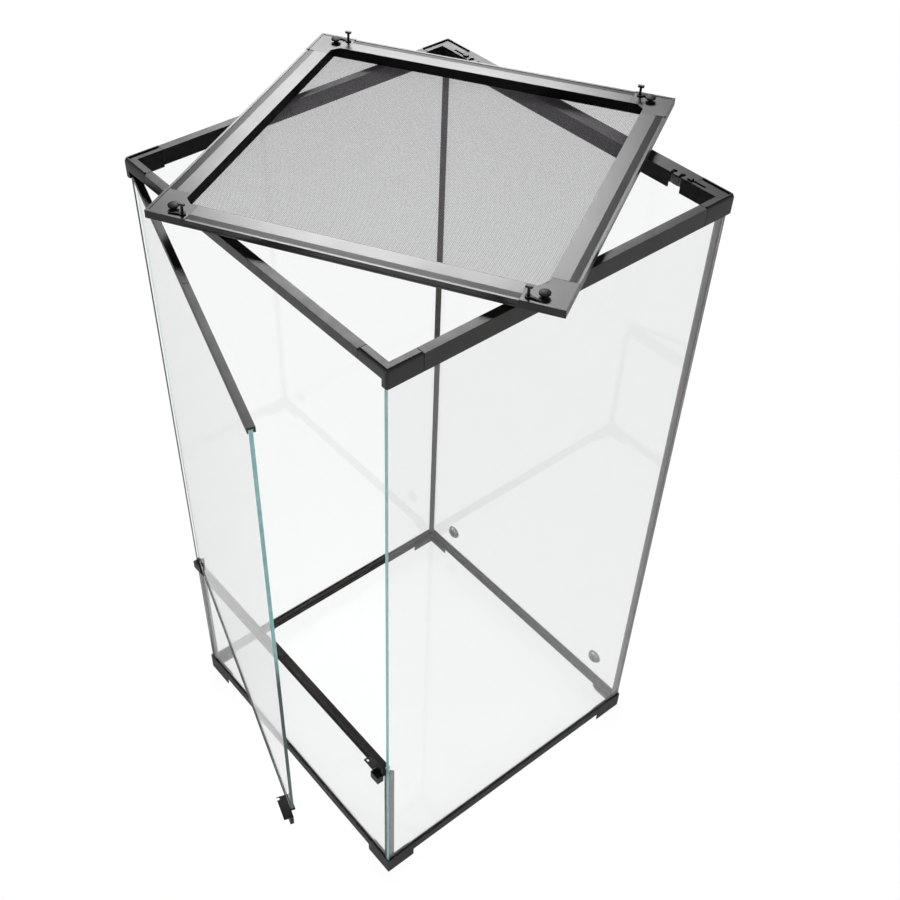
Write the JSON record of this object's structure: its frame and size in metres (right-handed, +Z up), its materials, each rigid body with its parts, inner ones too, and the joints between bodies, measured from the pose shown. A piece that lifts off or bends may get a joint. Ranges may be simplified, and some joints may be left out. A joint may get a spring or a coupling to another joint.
{
  "type": "reptile cage",
  "caption": "Tall glass terrarium with a hinged front door over a vent strip, black frames top and bottom, cable inlets and a lift-off screen lid lying askew.",
  "frame": {"origin": "under the middle of the glass box, level with the undersides of the feet", "axes": "+Z up, -Y out of the front door, -X the side that the door is hinged on"},
  "size_m": [0.584, 0.6748, 0.9244],
  "materials": {
    "black_plastic": "satin moulded",
    "strip_plastic": "satin moulded",
    "clear_glass": "clear, ground edges",
    "silicone": "matt",
    "lid_enamel": "satin enamel",
    "woven_wire": "fine woven mesh",
    "plug_rubber": "matt",
    "strap_rubber": "matt"
  },
  "bodies": {
    "cage": {"base_rail_back": "black_plastic", "base_rail_front": "black_plastic", "base_rail_left": "black_plastic", "base_rail_right": "black_plastic", "foot_back_left": "black_plastic", "foot_back_right": "black_plastic", "foot_front_left": "black_plastic", "foot_front_right": "black_plastic", "glass_back": "clear_glass", "glass_floor": "clear_glass", "glass_front_low": "clear_glass", "glass_left": "clear_glass", "glass_right": "clear_glass", "silicone_back_left": "silicone", "silicone_back_right": "silicone", "silicone_front_left": "silicone", "silicone_front_right": "silicone", "vent_strip_left": "strip_plastic", "vent_strip_right": "strip_plastic", "vent_mesh": "woven_wire", "lock_catch": "black_plastic", "hinge_bracket": "black_plastic", "top_rail_back": "black_plastic", "top_rail_front": "black_plastic", "top_rail_left": "black_plastic", "top_rail_right": "black_plastic", "top_corner_back_left": "black_plastic", "top_corner_back_right": "black_plastic", "top_corner_front_left": "black_plastic", "top_corner_front_right": "black_plastic"},
    "door": {"door_glass": "clear_glass", "door_header_free": "black_plastic", "door_header_hinge": "black_plastic", "door_trim": "black_plastic", "door_pivot_top": "black_plastic", "door_pivot_bottom": "black_plastic", "door_hasp": "black_plastic"},
    "lid": {"lid_bar_back": "lid_enamel", "lid_bar_front": "lid_enamel", "lid_bar_left": "lid_enamel", "lid_bar_right": "lid_enamel", "lid_corner_back_left": "black_plastic", "lid_corner_back_right": "black_plastic", "lid_corner_front_left": "black_plastic", "lid_corner_front_right": "black_plastic", "lid_screen": "woven_wire", "lid_plug_back_left": "strap_rubber", "lid_plug_back_right": "strap_rubber", "lid_plug_front_left": "strap_rubber", "lid_plug_front_right": "strap_rubber"},
    "inlet_slider_left": {"inlet_slider_left": "black_plastic"},
    "inlet_slider_right": {"inlet_slider_right": "black_plastic"},
    "port_plug_left": {"port_plug_left": "plug_rubber"},
    "port_plug_right": {"port_plug_right": "plug_rubber"},
    "lid_pin_back_left": {"lid_pin_back_left": "black_plastic"},
    "lid_pin_back_right": {"lid_pin_back_right": "black_plastic"},
    "lid_pin_front_left": {"lid_pin_front_left": "black_plastic"},
    "lid_pin_front_right": {"lid_pin_front_right": "black_plastic"}
  },
  "joints": [
    {"name": "door_hinge", "type": "hinge", "parent": "cage", "child": "door", "pos_m": [-0.2135, -0.2215, 0.57], "axis": [0, 0, -1], "range_deg": [-17.2, 82.8]},
    {"name": "lid_lift", "type": "slide", "parent": "cage", "child": "lid", "axis": [0, 0, 1], "range_m": [0, 0.15]},
    {"name": "inlet_slide_left", "type": "slide", "parent": "cage", "child": "inlet_slider_left", "axis": [-1, 0, 0], "range_m": [0, 0.017]},
    {"name": "inlet_slide_right", "type": "slide", "parent": "cage", "child": "inlet_slider_right", "axis": [1, 0, 0], "range_m": [0, 0.017]},
    {"name": "port_plug_pull_left", "type": "slide", "parent": "cage", "child": "port_plug_left", "axis": [0, 1, 0], "range_m": [0, 0.03]},
    {"name": "port_plug_pull_right", "type": "slide", "parent": "cage", "child": "port_plug_right", "axis": [0, 1, 0], "range_m": [0, 0.03]},
    {"name": "lid_pin_push_back_left", "type": "slide", "parent": "lid", "child": "lid_pin_back_left", "axis": [0, 0, -1], "range_m": [0, 0.008]},
    {"name": "lid_pin_push_back_right", "type": "slide", "parent": "lid", "child": "lid_pin_back_right", "axis": [0, 0, -1], "range_m": [0, 0.008]},
    {"name": "lid_pin_push_front_left", "type": "slide", "parent": "lid", "child": "lid_pin_front_left", "axis": [0, 0, -1], "range_m": [0, 0.008]},
    {"name": "lid_pin_push_front_right", "type": "slide", "parent": "lid", "child": "lid_pin_front_right", "axis": [0, 0, -1], "range_m": [0, 0.008]}
  ]
}
